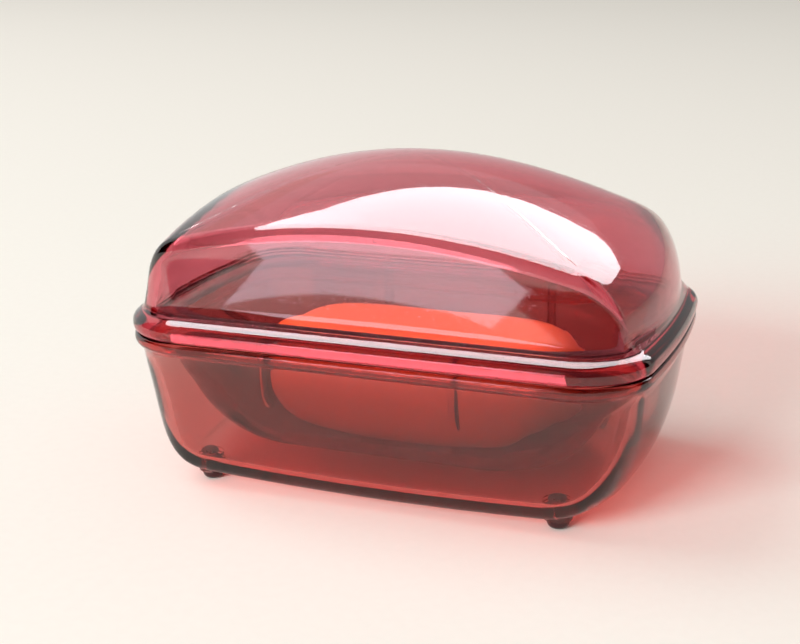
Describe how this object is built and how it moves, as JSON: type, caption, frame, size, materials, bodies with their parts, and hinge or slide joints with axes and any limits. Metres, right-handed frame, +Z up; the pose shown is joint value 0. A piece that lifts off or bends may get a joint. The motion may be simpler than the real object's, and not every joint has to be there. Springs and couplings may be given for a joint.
{
  "type": "travel soap box",
  "caption": "Travel soap box in translucent wine-red moulded plastic: a domed lid over a footed base, with a hanging dish holding a bar of soap.",
  "frame": {"origin": "on the ground under the middle of the box", "axes": "+X along the length to the right, +Y to the back, +Z up through the lid"},
  "size_m": [0.116, 0.072, 0.0695],
  "materials": {
    "base_plastic": "translucent wine-red plastic, high gloss",
    "lid_plastic": "translucent wine-red plastic, high gloss",
    "dish_plastic": "translucent brown-red plastic, high gloss",
    "soap": "orange glycerine soap, smooth and soft",
    "foot_rubber": "dark soft plastic, satin"
  },
  "bodies": {
    "base_body": {"base": "base_plastic", "foot_front_left": "foot_rubber", "foot_front_right": "foot_rubber", "foot_back_left": "foot_rubber", "foot_back_right": "foot_rubber"},
    "tray_body": {"tray": "dish_plastic"},
    "soap_body": {"soap_bar": "soap"},
    "lid_body": {"lid": "lid_plastic"}
  },
  "joints": [
    {"name": "tray_lift", "type": "slide", "parent": "base_body", "child": "tray_body", "axis": [0, 0, 1], "range_m": [0, 0.036]},
    {"name": "soap_lift", "type": "slide", "parent": "tray_body", "child": "soap_body", "axis": [0, 0, 1], "range_m": [0, 0.025]},
    {"name": "lid_lift", "type": "slide", "parent": "tray_body", "child": "lid_body", "axis": [0, 0, 1], "range_m": [0, 0.045]}
  ]
}
